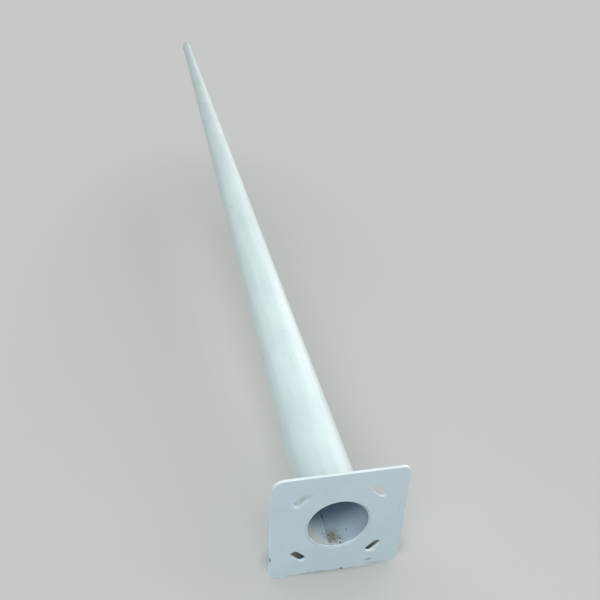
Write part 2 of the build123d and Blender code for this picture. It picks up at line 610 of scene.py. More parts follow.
@dataclass(frozen=True)
class ZincSteel:
    """Hot-dip galvanised steel: dull grey zinc whose crystals show as a patchwork of tones."""

    name: str = "galvanised_steel"
    colour: str = "#A7ABAB"
    shade: str = "#868B8D"
    spangle_mm: float = 9.0
    roughness: Span = (0.38, 0.55)
    grain: Grain = Grain(1.5, 3.0)
    grain_depth_mm: float = 0.05

    def build(self) -> Material:
        """Builds the zinc's material.

        Returns:
            The material.
        """
        material, tree = new_material(self.name)
        place = add(tree, "ShaderNodeTexCoord").outputs["Object"]
        spangle = add(tree, "ShaderNodeTexVoronoi", {"Vector": place, "Scale": per_metre(self.spangle_mm)})
        grey = add(tree, "ShaderNodeSeparateColor", [spangle.outputs["Color"]])
        tones = [grey.outputs[0], linear(self.shade), linear(self.colour)]
        tone = add(tree, "ShaderNodeMix", tones, data_type="RGBA")
        gloss = add(tree, "ShaderNodeMapRange", [grey.outputs[1], 0.0, 1.0, *self.roughness])
        grain = add(tree, "ShaderNodeTexNoise", self.grain.over(place))
        bump = add(tree, "ShaderNodeBump", {"Height": grain, "Distance": self.grain_depth_mm * MM})
        look = {"Base Color": tone, "Metallic": 1.0, "Roughness": gloss, "Normal": bump}
        shader = add(tree, "ShaderNodeBsdfPrincipled", look)
        add(tree, "ShaderNodeOutputMaterial", {"Surface": shader})
        return material


@dataclass(frozen=True)
class StainlessSteel:
    """Turned stainless steel of the screws: fine tool marks in its gloss, slightly dulled."""

    name: str = "stainless_steel"
    colour: str = "#C8CACB"
    shade: str = "#A4A6A8"
    haze: Grain = Grain(4.0, 4.0)
    turning: Grain = Grain(0.6)
    turning_span: Span = (0.3, 0.7)
    roughness: Span = (0.22, 0.36)

    def build(self) -> Material:
        """Builds the steel's material.

        Returns:
            The material.
        """
        material, tree = new_material(self.name)
        place = add(tree, "ShaderNodeTexCoord").outputs["Object"]
        haze = add(tree, "ShaderNodeTexNoise", self.haze.over(place))
        tones = [haze, linear(self.shade), linear(self.colour)]
        tone = add(tree, "ShaderNodeMix", tones, data_type="RGBA")
        lines = add(tree, "ShaderNodeTexNoise", self.turning.over(place))
        gloss = add(tree, "ShaderNodeMapRange", [lines, *self.turning_span, *self.roughness])
        look = {"Base Color": tone, "Metallic": 1.0, "Roughness": gloss}
        shader = add(tree, "ShaderNodeBsdfPrincipled", look)
        add(tree, "ShaderNodeOutputMaterial", {"Surface": shader})
        return material


# Smears and chips on the plate, and a painted greenish reflection along the edge that lies lowest
PLATE_MARKS_AND_PAINTED_REFLECTION = (
    Mark((-104.0, -96.0, 0.0), (20.0, 9.0, 6.0), "#E4EAEC", 0.6, 0.7, 7.0),
    Mark((-80.0, -118.0, 0.0), (16.0, 9.0, 6.0), "#A3B0B6", 0.2, 0.8, 8.0),
    Mark((98.0, 116.0, 0.0), (16.0, 6.0, 6.0), "#EDF1F1", 0.8, 0.5, 5.0),
    Mark((92.0, 152.0, 0.0), (15.0, 6.0, 8.0), "#6E7B74", 0.6, 0.8, 6.0),
    # Painted reflection: a greenish tint along the lowest edge
    Mark((112.0, 168.0, 0.0), (40.0, 5.0, 8.0), "#9DB0A2", 0.6, 0.8, 8.0),
    Mark((20.0, 173.0, 0.0), (6.0, 5.0, 9.0), "#3C3A33", 0.9, 0.5, 3.0),
    Mark((-173.0, 98.0, 0.0), (4.0, 10.0, 9.0), "#4A4C48", 0.7, 0.5, 4.0),
    Mark((-125.0, 52.0, 0.0), (9.0, 14.0, 6.0), "#DDE6EB", 0.45, 0.8, 6.0),
    # Painted reflection: a greenish tint along the lowest edge
    Mark((-60.0, 173.0, 2.0), (90.0, 7.0, 12.0), "#6F7A6A", 0.55, 0.9, 14.0),
)

# Painted shade in the groove beside the root bead, which draws a thin dark line along part of the hole
GROOVE_PAINTED_SHADE = Mark((24.0, -64.0, 3.4), (112.0, 76.0, 2.3), "#4F5B63", 0.85, 0.5, 5.0)


@dataclass
class Finishes:
    """The materials of the pole, one for each kind of surface, each built once."""

    # The plate's coat is a duller copy of the shaft's: partly dust, partly painted shade on its face
    plate: Material = field(
        default_factory=PowderCoat(
            "satin_powder_coat_plate_dusty_and_shaded",
            "#D3DFE7",
            "#CCDAE2",
            roughness=0.42,
            cloud=Grain(190.0, 3.0, 0.55),
            streak=Grain(60.0, 4.0, 0.6),
            streak_length=1.0,
            scuff="#A3B0B6",
            marks=PLATE_MARKS_AND_PAINTED_REFLECTION,
        ).build
    )
    # The plate's edges take a whiter copy of its coat: partly the powder that piles up on an edge, partly
    # painted light that the edges catch.
    edge: Material = field(
        default_factory=PowderCoat(
            "thick_and_lit_powder_coat_edge",
            "#E9F0F2",
            "#DCE6EA",
            roughness=0.38,
            streak_length=1.0,
            marks=PLATE_MARKS_AND_PAINTED_REFLECTION,
        ).build
    )
    shaft: Material = field(
        default_factory=PowderCoat(
            "gloss_powder_coat_shaft", "#E3EEEE", "#D5E2E3", roughness=0.34, wave_depth_mm=0.5
        ).build
    )
    weld: Material = field(
        default_factory=PowderCoat(
            "powder_coat_over_weld",
            "#DCE6EC",
            "#CFDCE4",
            roughness=0.4,
            cloud=Grain(40.0, 3.0, 0.55),
            streak_length=1.0,
            # The painted shade in the groove beside the root bead
            marks=(GROOVE_PAINTED_SHADE,),
        ).build
    )
    nuts: Material = field(
        default_factory=PowderCoat(
            "powder_coat_over_nuts",
            "#E2EDED",
            "#D3E0E1",
            roughness=0.36,
            cloud=Grain(30.0, 3.0, 0.55),
            streak_length=1.0,
        ).build
    )
    inside: Material = field(default_factory=OversprayedSteel().build)
    zinc: Material = field(default_factory=ZincSteel().build)
    stainless: Material = field(default_factory=StainlessSteel().build)


# Geometry node trees


def size_tree(name: str, sizes: dict[str, float]) -> tuple[NodeTree, Node]:
    """Starts a Geometry Nodes tree with named inputs for its sizes.

    Args:
        name: The tree's name.
        sizes: Input name to its default value; a whole number makes a whole-number input.

    Returns:
        The tree and its Group Input node.
    """
    tree = bpy.data.node_groups.new(name, "GeometryNodeTree")
    tree.interface.new_socket("Geometry", in_out="INPUT", socket_type="NodeSocketGeometry")
    tree.interface.new_socket("Geometry", in_out="OUTPUT", socket_type="NodeSocketGeometry")
    for label, value in sizes.items():
        kind = "NodeSocketInt" if isinstance(value, int) else "NodeSocketFloat"
        tree.interface.new_socket(label, in_out="INPUT", socket_type=kind).default_value = value
    tree.interface.new_socket("Material", in_out="INPUT", socket_type="NodeSocketMaterial")
    return tree, add(tree, "NodeGroupInput")


def section_grid(tree: NodeTree, given: Node, count: NodeSocket) -> tuple[Node, Node, Node, Node]:
    """Lays a grid whose rows are the points of a cross-section and whose columns repeat it.

    Args:
        tree: The tree.
        given: Its Group Input node, whose geometry is the cross-section.
        count: The socket with the number of steps along the path.

    Returns:
        The grid, and the nodes with the row, the column and the cross-section's point.
    """
    points = add(tree, "GeometryNodeAttributeDomainSize", [given], component="MESH")
    columns = add(tree, "ShaderNodeMath", [count, 1.0], operation="ADD")
    grid = add(tree, "GeometryNodeMeshGrid", {"Vertices X": points, "Vertices Y": columns})
    index = add(tree, "GeometryNodeInputIndex")
    ratio = add(tree, "ShaderNodeMath", [index, columns], operation="DIVIDE")
    row = add(tree, "ShaderNodeMath", [ratio], operation="FLOOR")
    column = add(tree, "ShaderNodeMath", [index, columns], operation="MODULO")
    position = add(tree, "GeometryNodeInputPosition")
    sample = {"data_type": "FLOAT_VECTOR", "domain": "POINT"}
    point = add(tree, "GeometryNodeSampleIndex", [given, position, row], **sample)
    return grid, row, column, point


def polar(tree: NodeTree, radius: Node, angle: Node, level: Node | NodeSocket) -> Node:
    """Turns a radius, an angle in radians and a height into a place.

    Args:
        tree: The tree.
        radius: The node with the distance from the axis.
        angle: The node with the angle.
        level: The node or socket with the height.

    Returns:
        The node with the place.
    """
    straight = add(tree, "ShaderNodeCombineXYZ", {"X": radius, "Z": level})
    turned = {"Vector": straight, "Angle": angle}
    return add(tree, "ShaderNodeVectorRotate", turned, rotation_type="Z_AXIS")


def close_tree(tree: NodeTree, given: Node, grid: Node, place: Node) -> None:
    """Places the grid's points, closes its seams and dresses it.

    Args:
        tree: The tree.
        given: Its Group Input node.
        grid: The grid node.
        place: The node with each point's place.
    """
    doubled = 0.004 * MM
    moved = add(tree, "GeometryNodeSetPosition", {"Geometry": grid, "Position": place})
    merged = add(tree, "GeometryNodeMergeByDistance", {"Geometry": moved, "Distance": doubled})
    real = add(tree, "GeometryNodeRealizeInstances", {"Geometry": merged})
    dress = {"Geometry": real, "Material": given.outputs["Material"]}
    add(tree, "NodeGroupOutput", {"Geometry": add(tree, "GeometryNodeSetMaterial", dress)})


def turned_tree() -> NodeTree:
    """Builds the tree that turns a cross-section round the axis.

    A point's x is its radius, z its height and y its share of the thread. Its attribute
    "sides" makes that ring a polygon, and "limit" cuts the polygon's corners back.

    Returns:
        The tree.
    """
    defaults = {"Segments": 48, "Pitch": PoleMeasures.thread_pitch * MM, "Thread Depth": 0.9 * MM}
    tree, given = size_tree("turned_piece", defaults)
    segments = given.outputs["Segments"]
    grid, row, column, point = section_grid(tree, given, segments)
    axes = add(tree, "ShaderNodeSeparateXYZ", [point])
    turn = add(tree, "ShaderNodeMath", [column, segments], operation="DIVIDE")
    angle = add(tree, "ShaderNodeMath", [turn, math.tau], operation="MULTIPLY")
    sample = {"data_type": "FLOAT", "domain": "POINT"}
    facts = []
    for label in ("sides", "limit"):
        named = add(tree, "GeometryNodeInputNamedAttribute", [label], data_type="FLOAT")
        facts.append(add(tree, "GeometryNodeSampleIndex", [given, named, row], **sample))
    sides, limit = facts
    # A ring of three sides or more is a polygon, whose radius grows from a side's middle to a corner.
    corner = add(tree, "ShaderNodeMath", [math.tau, sides], operation="DIVIDE")
    along = add(tree, "ShaderNodeMath", [angle, corner], operation="MODULO")
    half = add(tree, "ShaderNodeMath", [corner, 0.5], operation="MULTIPLY")
    offset = add(tree, "ShaderNodeMath", [along, half], operation="SUBTRACT")
    cosine = add(tree, "ShaderNodeMath", [offset], operation="COSINE")
    flat = add(tree, "ShaderNodeMath", [axes.outputs["X"], cosine], operation="DIVIDE")
    faceted = add(tree, "ShaderNodeMath", [sides, 2.5], operation="GREATER_THAN")
    shaped = add(tree, "ShaderNodeMix", [faceted, axes.outputs["X"], flat], data_type="FLOAT")
    radius = add(tree, "ShaderNodeMath", [shaped, limit], operation="MINIMUM")
    # The thread's groove climbs by its pitch with each turn, and is deepest half a pitch on.
    lead = add(tree, "ShaderNodeMath", [axes.outputs["Z"], given.outputs["Pitch"]], operation="DIVIDE")
    phase = add(tree, "ShaderNodeMath", [lead, turn], operation="SUBTRACT")
    wave = add(tree, "ShaderNodeMath", [phase, 0.5], operation="PINGPONG")
    groove = add(tree, "ShaderNodeMath", [wave, given.outputs["Thread Depth"]], operation="MULTIPLY")
    cut = add(tree, "ShaderNodeMath", [groove, axes.outputs["Y"]], operation="MULTIPLY")
    final = add(tree, "ShaderNodeMath", [cut, -2.0, radius], operation="MULTIPLY_ADD")
    close_tree(tree, given, grid, polar(tree, final, angle, axes.outputs["Z"]))
    return tree


def bead_tree() -> NodeTree:
    """Builds the tree that runs a weld bead round a circle, with ripples and a little wander.

    The cross-section is scaled by the valley's share between the ripples, and by more on
    their crests and where the bead wanders outwards.

    Returns:
        The tree.
    """
    slant, valley, wander_scale, wander_detail = 0.16, 0.9, 7.0, 2.0
    defaults = {
        "Segments": 360,
        "Radius": 84.0 * MM,
        "Height": 8.0 * MM,
        "Ripples": 90.0,
        "Ripple Depth": 0.12,
        "Wander": 0.15,
        "Lean": 0.0,
        "Lean Angle": 225.0,
        "Seed": 1.0,
    }
    tree, given = size_tree("weld_bead", defaults)
    sizes = given.outputs
    grid, row, column, point = section_grid(tree, given, sizes["Segments"])
    axes = add(tree, "ShaderNodeSeparateXYZ", [point])
    turn = add(tree, "ShaderNodeMath", [column, sizes["Segments"]], operation="DIVIDE")
    angle = add(tree, "ShaderNodeMath", [turn, math.tau], operation="MULTIPLY")
    # Each ripple slants across the bead, as the moving torch left it.
    ahead = add(tree, "ShaderNodeMath", [row, slant], operation="MULTIPLY")
    count = add(tree, "ShaderNodeMath", [turn, sizes["Ripples"]], operation="MULTIPLY")
    phase = add(tree, "ShaderNodeMath", [count, ahead], operation="ADD")
    scale = add(tree, "ShaderNodeMath", [phase, 0.5], operation="PINGPONG")
    ripple = add(tree, "ShaderNodeMath", [scale, sizes["Ripple Depth"]], operation="MULTIPLY")
    # Noise that runs round a circle meets itself again, so that the bead has no step in it.
    east = add(tree, "ShaderNodeMath", [angle], operation="COSINE")
    north = add(tree, "ShaderNodeMath", [angle], operation="SINE")
    heading = add(tree, "ShaderNodeCombineXYZ", [east, north])
    slow = {"Vector": heading, "W": sizes["Seed"], "Scale": wander_scale, "Detail": wander_detail}
    drift = add(tree, "ShaderNodeTexNoise", slow, noise_dimensions="4D")
    wander = add(tree, "ShaderNodeMath", [drift, sizes["Wander"]], operation="MULTIPLY")
    grown = add(tree, "ShaderNodeMath", [ripple, wander], operation="ADD")
    factor = add(tree, "ShaderNodeMath", [valley, grown], operation="ADD")
    # The bead is broader towards its lean angle, where more weld went in.
    lean_angle = add(tree, "ShaderNodeMath", [sizes["Lean Angle"]], operation="RADIANS")
    from_lean = add(tree, "ShaderNodeMath", [angle, lean_angle], operation="SUBTRACT")
    towards = add(tree, "ShaderNodeMath", [from_lean], operation="COSINE")
    broader = add(tree, "ShaderNodeMath", [towards, sizes["Lean"], factor], operation="MULTIPLY_ADD")
    across = [axes.outputs["X"], broader, sizes["Radius"]]
    reach = add(tree, "ShaderNodeMath", across, operation="MULTIPLY_ADD")
    upwards = [axes.outputs["Z"], factor, sizes["Height"]]
    level = add(tree, "ShaderNodeMath", upwards, operation="MULTIPLY_ADD")
    close_tree(tree, given, grid, polar(tree, reach, angle, level))
    return tree


def seam_tree() -> NodeTree:
    """Builds the tree that runs the long seam's bead up the tapered tube.

    The cross-section's x goes round the tube and its y away from the axis.

    Returns:
        The tree.
    """
    valley = 0.9
    defaults = {
        "Steps": 400,
        "Low": 10.0 * MM,
        "High": 6.0,
        "Low Radius": 84.0 * MM,
        "High Radius": 35.0 * MM,
        "Angle": PoleMeasures.seam_angle,
        "Ripple": 14.0 * MM,
        "Ripple Depth": 0.25,
    }
    tree, given = size_tree("long_seam", defaults)
    sizes = given.outputs
    grid, _, column, point = section_grid(tree, given, sizes["Steps"])
    axes = add(tree, "ShaderNodeSeparateXYZ", [point])
    share = add(tree, "ShaderNodeMath", [column, sizes["Steps"]], operation="DIVIDE")
    level = add(tree, "ShaderNodeMix", [share, sizes["Low"], sizes["High"]])
    radius = add(tree, "ShaderNodeMix", [share, sizes["Low Radius"], sizes["High Radius"]])
    phase = add(tree, "ShaderNodeMath", [level, sizes["Ripple"]], operation="DIVIDE")
    wave = add(tree, "ShaderNodeMath", [phase, 0.5], operation="PINGPONG")
    factor = add(tree, "ShaderNodeMath", [wave, sizes["Ripple Depth"], valley], operation="MULTIPLY_ADD")
    rise = add(tree, "ShaderNodeMath", [axes.outputs["Y"], factor], operation="MULTIPLY")
    reach = add(tree, "ShaderNodeMath", [radius, rise], operation="ADD")
    flat = add(tree, "ShaderNodeCombineXYZ", [reach, axes.outputs["X"], level])
    turned = {"Vector": flat, "Angle": add(tree, "ShaderNodeMath", [sizes["Angle"]], operation="RADIANS")}
    place = add(tree, "ShaderNodeVectorRotate", turned, rotation_type="Z_AXIS")
    close_tree(tree, given, grid, place)
    return tree


@dataclass(frozen=True)
class Ring:
    """One point of a turned piece's cross-section, in millimetres.

    With three sides or more it makes a polygon, whose corners its limit cuts back. Its
    thread is the share of the thread's depth that is cut into it.
    """

    radius: float
    height: float
    sides: int = 0
    limit: float = 9999.0
    thread: float = 0.0


def threaded(low: float, high: float, fade: float) -> list[Ring]:
    """Gives the rings of a screw's thread, which fades in and out at its ends.

    Args:
        low: The height at which it starts.
        high: The height at which it ends.
        fade: How many times the length of its fading end goes into its whole length.

    Returns:
        The rings, six to a turn of the thread.
    """
    steps = round((high - low) / PoleMeasures.thread_pitch * 6)
    rings = []
    for step in range(steps + 1):
        share = step / steps
        depth = min(1.0, fade * share, fade * (1 - share))
        rings.append(Ring(PoleMeasures.screw_radius, low + share * (high - low), thread=depth))
    return rings


class Shaper:
    """Runs the Geometry Nodes trees on cross-sections and gives plain pieces."""

    sliver_mm: float = 0.001

    def __init__(self) -> None:
        """Builds the three trees."""
        self.turned = turned_tree()
        self.bead = bead_tree()
        self.seam = seam_tree()

    def grow(
        self, name: str, section: Mesh, tree: NodeTree, sizes: dict[str, float], material: Material
    ) -> Object:
        """Runs a tree on a cross-section.

        Args:
            name: The piece's name.
            section: The cross-section's points.
            tree: The tree.
            sizes: Input name to value.
            material: The piece's material.

        Returns:
            The piece, with a plain mesh and no modifier.
        """
        item = new_object(name, section)
        modifier = item.modifiers.new("shape", "NODES")
        modifier.node_group = tree
        given = {**sizes, "Material": material}
        for socket in tree.interface.items_tree:
            if socket.item_type == "SOCKET" and socket.in_out == "INPUT" and socket.name in given:
                modifier[socket.identifier] = given[socket.name]
        evaluated(item).name = name
        return item

    def sweep(
        self, name: str, outline: list[Point], tree: NodeTree, sizes: dict[str, float], material: Material
    ) -> Object:
        """Runs a tree on a closed outline.

        Args:
            name: The piece's name.
            outline: The outline's points in millimetres.
            tree: The tree.
            sizes: Input name to value.
            material: The piece's material.

        Returns:
            The piece.
        """
        section = new_mesh(name + "_section", [metres(point) for point in [*outline, outline[0]]])
        return self.grow(name, section, tree, sizes, material)

    def turn(
        self,
        name: str,
        rings: list[Ring],
        material: Material,
        place: Matrix | None = None,
        segments: int = 48,
        crease: float = 35.0,
    ) -> Object:
        """Makes a turned piece.

        Args:
            name: The piece's name.
            rings: Its cross-section.
            material: Its material.
            place: Where its own Z axis stands, in metres.
            segments: The number of steps round the axis.
            crease: The angle in degrees over which an edge stays sharp.

        Returns:
            The piece.
        """
        points = [(ring.radius * MM, ring.thread, ring.height * MM) for ring in rings]
        section = new_mesh(name + "_section", points)
        facts = {"sides": [float(ring.sides) for ring in rings], "limit": metres(r.limit for r in rings)}
        for label, values in facts.items():
            section.attributes.new(label, "FLOAT", "POINT").data.foreach_set("value", values)
        item = self.grow(name, section, self.turned, {"Segments": segments}, material)
        self.tidy(item, crease)
        if place is not None:
            item.data.transform(place)
        return item

    def tidy(self, item: Object, crease: float) -> None:
        """Turns all faces outwards and smooths them.

        Args:
            item: The piece.
            crease: The angle in degrees over which an edge stays sharp.
        """
        turn_outwards(item.data, self.sliver_mm)
        item.data.shade_smooth()
        item.data.set_sharp_from_angle(angle=math.radians(crease))


# Base plate


@dataclass
class BasePlate:
    """The square foot plate with uneven corners, the shaft's hole and four anchor slots.

    A corner is the signs of its x and y and its radius. A knock is its x and y, how far it
    reaches along the edge and how deep it is.
    """

    measures: PoleMeasures
    side: float = 350.0
    corners: tuple[tuple[int, int, float], ...] = (
        (-1, -1, 34.0),
        (1, -1, 22.0),
        (1, 1, 30.0),
        (-1, 1, 26.0),
    )
    corner_steps: int = 14
    hole_radius: float = 84.4
    hole_steps: int = 144
    slot_circle: float = 141.42
    slot_width: float = 22.0
    slot_length: float = 48.0
    slot_steps: int = 16
    edge_round: float = 1.1
    edge_steps: int = 4
    side_step: float = 7.0
    wobble: float = 0.35
    wobble_length: float = 38.0
    wobble_seed: float = 3.7
    proud: float = 0.1
    knocks: tuple[tuple[float, float, float, float], ...] = (
        (14.0, 175.0, 3.5, 1.6),
        (-175.0, 97.0, 4.0, 1.4),
        (98.0, 175.0, 7.0, 1.1),
    )

    def edge_loop(self) -> list[tuple[Vector, Vector]]:
        """Gives the plate's outline.

        Returns:
            Its points with their outward directions.
        """
        half = self.side / 2
        points: list[tuple[Vector, Vector]] = []
        for number, (side_x, side_y, radius) in enumerate(self.corners):
            centre = Vector((side_x * (half - radius), side_y * (half - radius)))
            start = math.pi + number * math.pi / 2
            for step in range(self.corner_steps + 1):
                angle = start + step / self.corner_steps * math.pi / 2
                out = Vector((math.cos(angle), math.sin(angle)))
                points.append((centre + out * radius, out))
            begin, out = points[-1]
            next_x, next_y, next_radius = self.corners[(number + 1) % len(self.corners)]
            along = Vector((math.cos(start + math.pi), math.sin(start + math.pi)))
            end = Vector((next_x * half, next_y * half)) - along * next_radius
            count = max(2, round((end - begin).length / self.side_step))
            points += [(begin.lerp(end, step / count), out) for step in range(1, count)]
        return [(self.worn(point, out), out) for point, out in points]

    def worn(self, point: Vector, out: Vector) -> Vector:
        """Moves a point of the outline as the torch, the coat and knocks left it.

        Args:
            point: The point.
            out: Its outward direction.

        Returns:
            The moved point.
        """
        spot = Vector((point.x / self.wobble_length, point.y / self.wobble_length, self.wobble_seed))
        shift = self.wobble * noise.noise(spot)
        for x, y, reach, depth in self.knocks:
            away = math.hypot(point.x - x, point.y - y)
            shift -= depth * math.exp(-((away / reach) ** 2))
        return point + out * min(shift, self.proud)

    def hole_loop(self) -> list[tuple[Vector, Vector]]:
        """Gives the outline of the shaft's hole.

        Returns:
            Its points with the directions into the hole.
        """
        loop = []
        for step in range(self.hole_steps):
            angle = -step / self.hole_steps * math.tau
            out = Vector((math.cos(angle), math.sin(angle)))
            loop.append((out * self.hole_radius, -out))
        return loop

    def slot_loop(self, angle: float) -> list[tuple[Vector, Vector]]:
        """Gives the outline of a slot.

        Args:
            angle: The slot's direction round the pole in radians.

        Returns:
            Its points with the directions into the slot.
        """
        out = Vector((math.cos(angle), math.sin(angle)))
        along = Vector((-out.y, out.x))
        radius = self.slot_width / 2
        reach = self.slot_length / 2 - radius
        loop = []
        for end, first in ((1, math.pi), (-1, 0.0)):
            centre = out * self.slot_circle + along * reach * end
            for step in range(self.slot_steps + 1):
                bend = first - step / self.slot_steps * math.pi
                direction = out * math.cos(bend) + along * math.sin(bend)
                loop.append((centre + direction * radius, -direction))
        return loop

    def edge_levels(self) -> list[tuple[float, float, float, float]]:
        """Gives the steps of a rounded edge from the plate's underside to its upper face.

        Returns:
            For each step its inset, its height, and its normal's outward and upward shares.
        """
        lower = []
        for step in range(self.edge_steps + 1):
            bend = step / self.edge_steps * math.pi / 2
            out, down = math.sin(bend), math.cos(bend)
            lower.append((self.edge_round * (1 - out), self.edge_round * (1 - down), out, -down))
        top = self.measures.plate_thickness
        return lower + [(inset, top - height, out, -up) for inset, height, out, up in reversed(lower)]

    def build(self, finishes: Finishes) -> None:
        """Builds the plate.

        Args:
            finishes: The pole's materials.
        """
        loops = [self.edge_loop(), self.hole_loop()]
        loops += [self.slot_loop(math.radians(45 + 90 * quarter)) for quarter in range(4)]
        levels = self.edge_levels()
        rim = len(loops[0]) * (len(levels) - 1)
        places: list[Vector] = []
        normals: list[Vector] = []
        faces: list[tuple[int, ...]] = []
        starts: list[list[int]] = []
        for loop in loops:
            rows = []
            for inset, height, outward, upward in levels:
                rows.append(len(places))
                for point, out in loop:
                    spot = point - out * inset
                    places.append(Vector((spot.x, spot.y, height)) * MM)
                    normals.append(Vector((out.x * outward, out.y * outward, upward)).normalized())
            for low, high in zip(rows, rows[1:]):
                for step in range(len(loop)):
                    after = (step + 1) % len(loop)
                    faces.append((low + step, low + after, high + after, high + step))
            starts.append(rows)
        for row in (0, len(levels) - 1):
            numbers = [[rows[row] + step for step in range(len(loop))] for rows, loop in zip(starts, loops)]
            outlines = [[places[number].to_2d().to_3d() for number in loop] for loop in numbers]
            flat = sum(numbers, [])
            for triangle in geometry.tessellate_polygon(outlines):
                faces.append(tuple(flat[corner] for corner in triangle))
        mesh = new_mesh("foot_plate", places, faces)
        turn_outwards(mesh)
        mesh.materials.append(finishes.plate)
        mesh.materials.append(finishes.edge)
        for face in mesh.polygons[:rim]:
            face.material_index = 1
        mesh.shade_smooth()
        mesh.normals_split_custom_set_from_vertices(normals)
        settle(new_object("foot_plate", mesh), Finish.PLATE, "base_plate")


# Shaft


@dataclass
class Shaft:
    """The tapered tube with its door opening, screw holes and long seam.

    A face counts as curved when it looks almost straight away from the axis or at it.
    """

    measures: PoleMeasures
    segments: int = 160
    row_step: float = 120.0
    end_round: float = 0.6
    end_bevel: float = 0.3
    corner_steps: int = 8
    hole_steps: int = 40
    block_start: float = 5.0
    door_reach: float = 110.0
    hole_reach: float = 60.0
    sliver: float = 0.02
    curved: float = 0.95
    bore_slack: float = 0.2
    seam_half: float = 3.2
    seam_rise: float = 0.8
    seam_sunk: float = 0.12
    seam_root: float = 1.0
    seam_steps: int = 8
    seam_row: float = 5.0
    seam_rows: int = 20
    seam_foot: float = 5.0
    seam_top: float = 1.5
    seam_inner_foot: float = 2.0
    door_clear: float = 1.0
    frame_clear: float = 8.0

    def rings(self) -> list[Ring]:
        """Gives the tube's cross-section.

        Returns:
            Its rings as a closed loop.
        """
        m = self.measures
        low, high = m.setback, m.height
        count = round((high - low) / self.row_step)
        bevel = self.end_round * self.end_bevel
        outside = [low + (high - low - self.end_round) * step / count for step in range(count + 1)]
        inside = [m.bore_foot + (low - m.bore_foot) * step / count for step in range(count + 1)]
        loop = [Ring(m.radius(height), height) for height in outside]
        loop += [
            Ring(m.tip_radius - bevel, high - bevel),
            Ring(m.tip_radius - self.end_round, high),
            Ring(m.bore_radius + self.end_round, high),
            Ring(m.bore_radius, high - self.end_round),
            Ring(m.bore_radius, high - m.bore_depth),
        ]
        loop += [Ring(m.radius(height) - m.wall, height) for height in inside]
        return [*loop, loop[0]]

    @staticmethod
    def cutter(name: str, outline: list[Span], place: Matrix, length: float) -> Object:
        """Makes a block that cuts an opening into the tube.

        Args:
            name: The block's name.
            outline: Its outline in millimetres.
            place: Where it starts, its own Z axis pointing outwards.
            length: Its length in millimetres.

        Returns:
            The block.
        """
        size = len(outline)
        points = [metres((x, y, z)) for z in (0.0, length) for x, y in outline]
        turns = [(step, (step + 1) % size) for step in range(size)]
        faces = [(step, after, size + after, size + step) for step, after in turns]
        faces += [tuple(reversed(range(size))), tuple(range(size, 2 * size))]
        mesh = new_mesh(name, points, faces)
        turn_outwards(mesh)
        mesh.transform(place)
        return new_object(name, mesh)

    def openings(self) -> list[Object]:
        """Makes the blocks for the door opening and the screw holes.

        Returns:
            The blocks.
        """
        m = self.measures
        corner = m.door_corner
        across, along = m.door_wide / 2 - corner, m.door_long / 2 - corner
        outline = []
        for number, (side_x, side_y) in enumerate(((1, 1), (-1, 1), (-1, -1), (1, -1))):
            for step in range(self.corner_steps + 1):
                angle = math.radians(90 * number + 90 * step / self.corner_steps)
                x = side_x * across + corner * math.cos(angle)
                outline.append((x, side_y * along + corner * math.sin(angle)))
        place = m.outward(m.door_angle, m.door_height, self.block_start)
        blocks = [self.cutter("door_block", outline, place, self.door_reach)]
        turns = [step / self.hole_steps * math.tau for step in range(self.hole_steps)]
        circle = [(m.screw_hole * math.cos(turn), m.screw_hole * math.sin(turn)) for turn in turns]
        for number, angle in enumerate(m.set_screw_angles):
            place = m.outward(angle, m.height - m.set_screw_drop, self.block_start)
            blocks.append(self.cutter(f"hole_block_{number}", circle, place, self.hole_reach))
        return blocks

    def dress(self, mesh: Mesh) -> None:
        """Gives the inner faces their finish and every curved face its true normals.

        Args:
            mesh: The tube's mesh.
        """
        m = self.measures
        tilt = Vector((1.0, 0.0, m.taper)).normalized()
        straight = m.bore_radius + self.bore_slack
        normals: list[Vector] = [Vector((0.0, 0.0, 1.0))] * len(mesh.loops)
        for face in mesh.polygons:
            centre = face.center
            facing = face.normal.dot(Vector((centre.x, centre.y, 0.0)).normalized())
            curved = abs(facing) > self.curved
            bored = math.hypot(centre.x, centre.y) / MM < straight
            face.material_index = 1 if curved and facing < 0 else 0
            for number in face.loop_indices:
                if not curved:
                    normals[number] = face.normal.copy()
                    continue
                spot = mesh.vertices[mesh.loops[number].vertex_index].co
                heading = Vector((spot.x, spot.y, 0.0)).normalized()
                tapered = Vector((heading.x * tilt.x, heading.y * tilt.x, tilt.z))
                normals[number] = (heading if bored else tapered) * (1 if facing > 0 else -1)
        mesh.shade_smooth()
        mesh.normals_split_custom_set(normals)

    def build(self, shaper: Shaper, finishes: Finishes) -> None:
        """Builds the tube and its seam.

        Args:
            shaper: The Geometry Nodes trees.
            finishes: The pole's materials.
        """
        tube = shaper.turn("tapered_shaft", self.rings(), finishes.shaft, segments=self.segments)
        blocks = self.openings()
        for block in blocks:
            cut = tube.modifiers.new(block.name, "BOOLEAN")
            cut.operation = "DIFFERENCE"
            cut.solver = "EXACT"
            cut.object = block
        evaluated(tube)
        for block in blocks:
            bpy.data.objects.remove(block)
        turn_outwards(tube.data, self.sliver)
        tube.data.materials.clear()
        tube.data.materials.append(finishes.shaft)
        tube.data.materials.append(finishes.inside)
        self.dress(tube.data)
        settle(tube, Finish.SHAFT, "shaft")
        self.seams(shaper, finishes)

